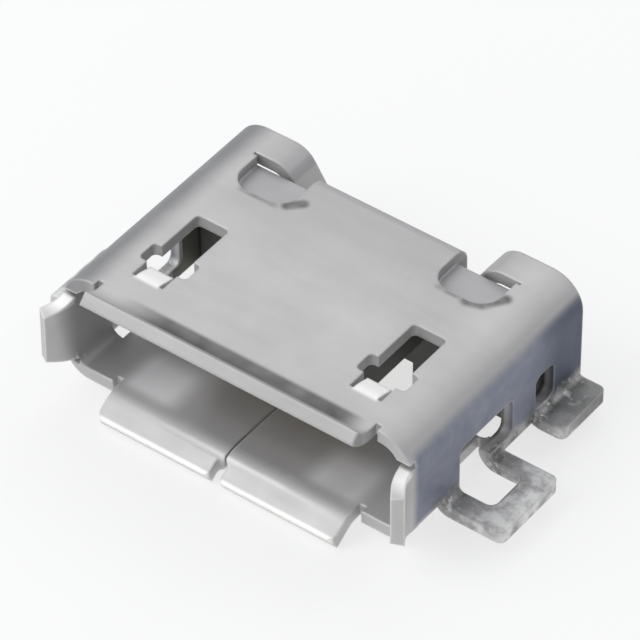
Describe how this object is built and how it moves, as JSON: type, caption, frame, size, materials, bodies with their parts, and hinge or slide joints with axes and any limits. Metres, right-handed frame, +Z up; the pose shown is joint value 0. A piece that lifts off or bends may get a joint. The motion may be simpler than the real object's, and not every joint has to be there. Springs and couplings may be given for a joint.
{
  "type": "micro usb socket",
  "caption": "Board-mounted micro USB socket: folded metal shell with flared mouth lips and solder tabs around a dark insulator with flat contacts.",
  "frame": {"origin": "on the board plane, the underside of the bottom plate and of the solder tabs, at the middle of the mouth", "axes": "+X across the mouth, to the right for someone who looks into it, +Y from the mouth to the rear, +Z up from the board"},
  "size_m": [0.0098, 0.0059, 0.0028],
  "materials": {
    "shell": "dull tin plate, rolled and stamped",
    "insulator": "moulded, matt dark grey",
    "contacts": "thin gold plate"
  },
  "bodies": {
    "root": {"shell": "shell", "insulator": "insulator", "contact_1": "contacts", "contact_2": "contacts", "contact_3": "contacts", "contact_4": "contacts", "contact_5": "contacts"}
  },
  "joints": []
}
